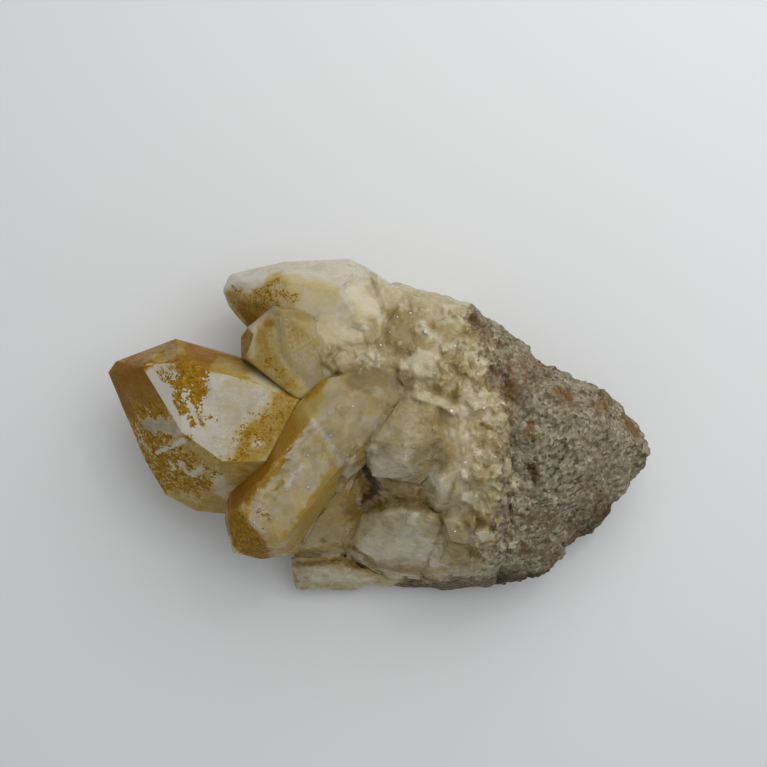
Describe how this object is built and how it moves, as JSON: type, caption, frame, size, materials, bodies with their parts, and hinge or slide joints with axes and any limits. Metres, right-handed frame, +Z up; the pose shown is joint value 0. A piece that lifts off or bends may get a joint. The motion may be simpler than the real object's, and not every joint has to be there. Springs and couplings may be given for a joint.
{
  "type": "quartz crystal cluster on matrix",
  "caption": "Cluster of iron-stained golden to milky quartz points growing from a loose lump of granular grey host rock.",
  "frame": {"origin": "middle of the cluster's outline seen from above, on the surface it rests on", "axes": "+Z up, +X from the large left point towards the rock's blunt tip, +Y towards the clear-tipped upper point"},
  "size_m": [0.099, 0.0624, 0.037],
  "materials": {
    "iron_stained_quartz": "satin",
    "golden_quartz": "gloss",
    "milky_quartz": "satin",
    "granular_rock": "matte"
  },
  "bodies": {
    "root": {"left_point": "iron_stained_quartz", "upper_point": "iron_stained_quartz", "middle_point": "iron_stained_quartz", "broken_point": "iron_stained_quartz", "golden_point": "golden_quartz", "corner_crystal": "golden_quartz", "central_crystal": "milky_quartz", "side_crystal": "milky_quartz", "lower_crystal": "milky_quartz", "milky_base": "milky_quartz", "host_rock": "granular_rock"}
  },
  "joints": []
}
